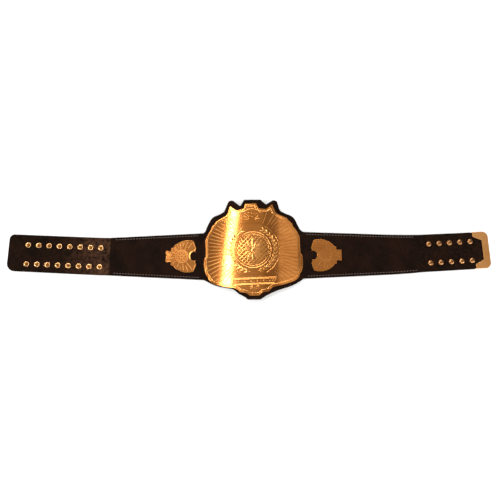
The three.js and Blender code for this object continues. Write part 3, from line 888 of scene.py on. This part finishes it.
# Stitching
# Waxed brown thread through both layers along the two straps, 6 mm inside the edge and 7.6 mm
# to a stitch, seen on the front and again on the back. The lobe and the panel's ends are glued.
stitch_inset, stitch_pitch, stitch_length = 6.0, 7.6, 5.0
thread_width, thread_sunk = 1.4, 0.05
seam_margin, lobe_margin = 10.0, 3.0

# Waxed nylon is dull and lighter than the leather. Its twist, 0.9 turns to a millimetre, only
# breaks up the colour.
waxed_thread, tree = new_material("waxed_nylon_thread")
spot = add_node(tree, "ShaderNodeTexCoord").outputs["Object"]
twist = add_node(
    tree, "ShaderNodeTexNoise", {"Vector": spot, "Scale": 0.9 / MM, "Detail": 2.0}
)
thread_colour = add_node(
    tree,
    "ShaderNodeMix",
    {"Factor": twist.outputs["Fac"], "A": linear("#40332d"), "B": linear("#84726a")},
    data_type="RGBA",
)
twist_bump = add_node(
    tree,
    "ShaderNodeBump",
    {"Strength": 0.6, "Distance": 0.2 * MM, "Height": twist.outputs["Fac"]},
)
thread_look = add_node(
    tree,
    "ShaderNodeBsdfPrincipled",
    {"Base Color": thread_colour.outputs[2], "Roughness": 0.6, "Normal": twist_bump.outputs[0]},
)
add_node(tree, "ShaderNodeOutputMaterial", {"Surface": thread_look.outputs[0]})


def stitch(thread, centre, along, height, rise):
    """One stitch, a half round that thins towards the two holes."""
    across = left_of(along)
    rows = []
    for share, size in ((-0.5, 0.25), (-0.4, 0.8), (0.0, 1.0), (0.4, 0.8), (0.5, 0.25)):
        row = []
        for i in range(6):
            angle = math.pi * i / 5
            reach = math.cos(angle) * thread_width / 2 * size
            lift = math.sin(angle) * rise * size
            p = centre + along * share * stitch_length + across * reach
            row.append(thread.verts.new((p.x, p.y, height + lift)))
        rows.append(row)
    for a, b in zip(rows, rows[1:]):
        for k in range(5):
            thread.faces.new((a[k], a[k + 1], b[k + 1], b[k]))
        thread.faces.new((a[5], a[0], b[0], b[5]))
    thread.faces.new(list(reversed(rows[0])))
    thread.faces.new(rows[-1])


thread = bmesh.new()
stitch_line = inner_line(panel_outline, stitch_inset, stitch_pitch)
wobble = random.Random(4)
for i, p in enumerate(stitch_line):
    along = (stitch_line[(i + 1) % len(stitch_line)] - stitch_line[i - 1]).normalized()
    along = (along + left_of(along) * wobble.uniform(-0.05, 0.05)).normalized()
    on_lobe = abs(p.x) <= plate_half + border + lobe_margin
    if panel_left + seam_margin < p.x < panel_right - seam_margin and not on_lobe:
        stitch(thread, p, along, panel_top - thread_sunk, 0.5)
        stitch(thread, p, along, thread_sunk, -0.45)
bmesh.ops.recalc_face_normals(thread, faces=thread.faces[:])
bend_sheet(thread, [])
finished_piece("stitching", thread, [waxed_thread], [])

# Strap tip
# A folded sheet of gold-plated brass, crimped over the right end of the base, with a pointed
# arm along each edge. It is plain, with worn edges.

# Thin gold over brass sheet: paler and duller than the plates, and scuffed by handling.
tip_metal = gold_plating("gold_plated_brass_sheet", "#f4b06e", "#c88846", 0.32, 0.12, 5.0, 0.5)

tip_mesh = bmesh.new()
tip_mesh.from_mesh(bpy.data.objects["strap_tip"].data)
bmesh.ops.remove_doubles(tip_mesh, verts=tip_mesh.verts[:], dist=0.01 * MM)
bmesh.ops.dissolve_limit(
    tip_mesh, angle_limit=math.radians(1), verts=tip_mesh.verts[:], edges=tip_mesh.edges[:]
)
note = tip_mesh.loops.layers.uv.new("flat")
for face in tip_mesh.faces:
    face.smooth = True
    for loop in face.loops:
        loop[note].uv = (loop.vert.co.x, loop.vert.co.y)
strap_tip = finished_piece("tip_gold_sheet", tip_mesh, [tip_metal], ["strap_tip"])
tip_bevel = strap_tip.modifiers.new("soft_edges", "BEVEL")
tip_bevel.width = 0.45 * MM
tip_bevel.segments = 3
tip_bevel.limit_method = "ANGLE"
tip_bevel.angle_limit = math.radians(35)
even_normals(strap_tip)

# Snap studs
# The left end's snap halves: a pressed brass flange with a hollow headed post in its middle,
# riveted through the leather to a flat back.


def snap_brass(name, light, dark, roughness):
    """Pressed brass, lacquered and finely scuffed. A darker copy is painted shade in hollows.
    There is a scuff in each 2.2 mm, coarser than on real snaps, so that it shows."""
    material, tree = new_material(name)
    place = add_node(tree, "ShaderNodeTexCoord").outputs["Object"]
    scuff = add_node(
        tree, "ShaderNodeTexNoise", {"Vector": place, "Scale": 0.45 / MM, "Detail": 4.0}
    )
    wear = add_node(
        tree,
        "ShaderNodeMapRange",
        {"Value": scuff.outputs["Fac"], "From Min": 0.35, "From Max": 0.7},
    )
    colour = add_node(
        tree,
        "ShaderNodeMix",
        {"Factor": wear.outputs[0], "A": linear(light), "B": linear(dark)},
        data_type="RGBA",
    )
    gloss = add_node(
        tree,
        "ShaderNodeMapRange",
        {"Value": scuff.outputs["Fac"], "To Min": roughness - 0.06, "To Max": roughness + 0.12},
    )
    bump = add_node(
        tree,
        "ShaderNodeBump",
        {"Strength": 0.3, "Distance": 0.1 * MM, "Height": scuff.outputs["Fac"]},
    )
    shader = add_node(
        tree,
        "ShaderNodeBsdfPrincipled",
        {
            "Base Color": colour.outputs[2],
            "Metallic": 1.0,
            "Roughness": gloss.outputs[0],
            "Normal": bump.outputs[0],
        },
    )
    add_node(tree, "ShaderNodeOutputMaterial", {"Surface": shader.outputs[0]})
    return material


turned_sides = 40


def turned_piece(name, profile, u, v, metals, node, dark_from=None):
    """A round piece from half its section, as (radius, height) above the leather's underside.
    From the ring dark_from on it has the second metal."""
    form = bmesh.new()
    rings = []
    for radius, height in profile:
        steps = turned_sides if radius else 1
        spots = [towards(2 * math.pi * i / steps) * radius * MM for i in range(steps)]
        rings.append([form.verts.new((*p, height * MM)) for p in spots])
    for number, (a, b) in enumerate(zip(rings, rings[1:])):
        for i in range(turned_sides):
            k = (i + 1) % turned_sides
            corners = [a[i % len(a)], a[k % len(a)], b[k % len(b)], b[i % len(b)]]
            corners = [c for n, c in enumerate(corners) if c not in corners[:n]]
            face = form.faces.new(corners)
            face.smooth = True
            face.material_index = 1 if dark_from is not None and number >= dark_from else 0
    origin = on_path(u, v, 0)
    upward = (on_path(u, v, 1) - origin).normalized()
    stand = Vector((0, 0, 1)).rotation_difference(upward).to_matrix()
    bmesh.ops.rotate(form, verts=form.verts[:], matrix=stand)
    bmesh.ops.translate(form, verts=form.verts[:], vec=origin)
    bmesh.ops.recalc_face_normals(form, faces=form.faces[:])
    even_normals(finished_piece(name, form, metals, [node]))


def snap_rows_of(kind, count, first, step, profile, metals, dark_from=None):
    """The two rows of one kind of snap half, from its end of the belt inwards."""
    for row, sign in (("upper", 1), ("lower", -1)):
        for i in range(count):
            u, v = first + i * step, snap_shift + sign * snap_rows / 2
            node = f"{kind}_{row}_{i + 1}"
            name = node + "_brass"
            turned_piece(name, profile, u, v, metals, node, dark_from)


def above_leather(*rows):
    """A part of a section whose heights are given from the front of the leather."""
    return [(radius, base_thick + layer_gap + height) for radius, height in rows]


# The flange is plain bright brass; the groove and the post in its middle are painted brown, as
# painted shade in the snap's hollow.
stud_brass = snap_brass("lacquered_brass_stud", "#dfb27a", "#aa7a48", 0.24)
shaded_post_brass = snap_brass("brass_post_painted_shade", "#a06a38", "#5f3a1c", 0.34)
stud_metals = [stud_brass, shaded_post_brass]
stud_profile = [(0, -1.7), (5.2, -1.7), (6.0, -1.45), (6.5, -0.3), (2.6, -0.3)] + above_leather(
    (2.6, 0), (6.9, 0), (7.25, 0.2), (7.2, 0.65), (6.6, 1.0), (5.6, 0.95), (4.4, 0.55), (3.2, 0.7),
    (2.9, 1.4), (3.0, 2.4), (3.35, 3.1), (3.3, 3.7), (2.7, 4.15), (2.0, 4.0), (1.5, 2.8), (0, 2.6),
)
first_stud = studs_from_end - strap_left
snap_rows_of("stud", 8, first_stud, snap_pitch, stud_profile, stud_metals, dark_from=11)

# Snap caps
# The right end's snap halves: a domed brass cap on the front, riveted through the leather to
# a socket whose mouth opens at the back.

# The same brass with thinner lacquer, browner from handling.
cap_brass = snap_brass("lacquered_brass_cap", "#be8a5a", "#74492a", 0.24)
cap_profile = [
    (0, 1.7), (3.0, 1.7), (3.3, 1.2), (3.3, -1.2), (3.6, -1.7), (5.8, -1.7), (6.3, -1.3),
    (6.5, -0.3), (4.1, -0.3),
] + above_leather(
    (4.1, 0), (7.2, 0), (7.5, 0.35), (7.4, 0.9), (6.9, 1.6), (6.0, 2.3), (4.7, 2.85), (3.0, 3.15),
    (1.4, 3.28), (0, 3.3),
)
first_cap = strap_right - caps_from_end
snap_rows_of("cap", 5, first_cap, -snap_pitch, cap_profile, [cap_brass])

# Plate screws
# Plain flat-headed steel screws from the back of the leather into the plates. Each head has a
# small round recess in its middle, and the front hides them.

# Zinc-plated steel is grey and half bright. Its spangle, 0.6 to a millimetre, is drawn coarse so
# that it shows.
screw_steel, tree = new_material("zinc_plated_steel")
spot = add_node(tree, "ShaderNodeTexCoord").outputs["Object"]
dull = add_node(
    tree, "ShaderNodeTexNoise", {"Vector": spot, "Scale": 0.6 / MM, "Detail": 3.0}
)
steel_colour = add_node(
    tree,
    "ShaderNodeMix",
    {"Factor": dull.outputs["Fac"], "A": linear("#c9c5bb"), "B": linear("#9a958b")},
    data_type="RGBA",
)
steel_look = add_node(
    tree,
    "ShaderNodeBsdfPrincipled",
    {"Base Color": steel_colour.outputs[2], "Metallic": 1.0, "Roughness": 0.38},
)
add_node(tree, "ShaderNodeOutputMaterial", {"Surface": steel_look.outputs[0]})

shank_top = plate_bottom + 1.4
screw_profile = [
    (0, -1.0), (1.5, -1.0), (1.6, -1.7), (4.4, -1.7), (4.85, -1.4), (5.0, -0.9), (5.0, -0.3),
    (2.0, -0.3), (2.0, plate_bottom + 1.3), (1.6, shank_top), (0, shank_top),
]
plate_screws = [(0.0, 0.8), (0.66, 0.5), (0.75, -0.42), (0.0, -0.78), (-0.75, -0.42), (-0.66, 0.5)]
for i, (x, y) in enumerate(plate_screws):
    p = on_plate((x * plate_half, y * (plate_drop if y < 0 else plate_rise)))
    name = f"plate_screw_{i + 1}"
    turned_piece(name + "_steel", screw_profile, p.x, p.y, [screw_steel], name)
for side_name, side, gap, up in side_places:
    for i, v in enumerate((0.62, -0.62)):
        u = side * (plate_half + gap + 0.3 * side_length)
        v = up + v * side_height / 2
        name = f"side_screw_{side_name}_{i + 1}"
        turned_piece(name + "_steel", screw_profile, u, v, [screw_steel], name)
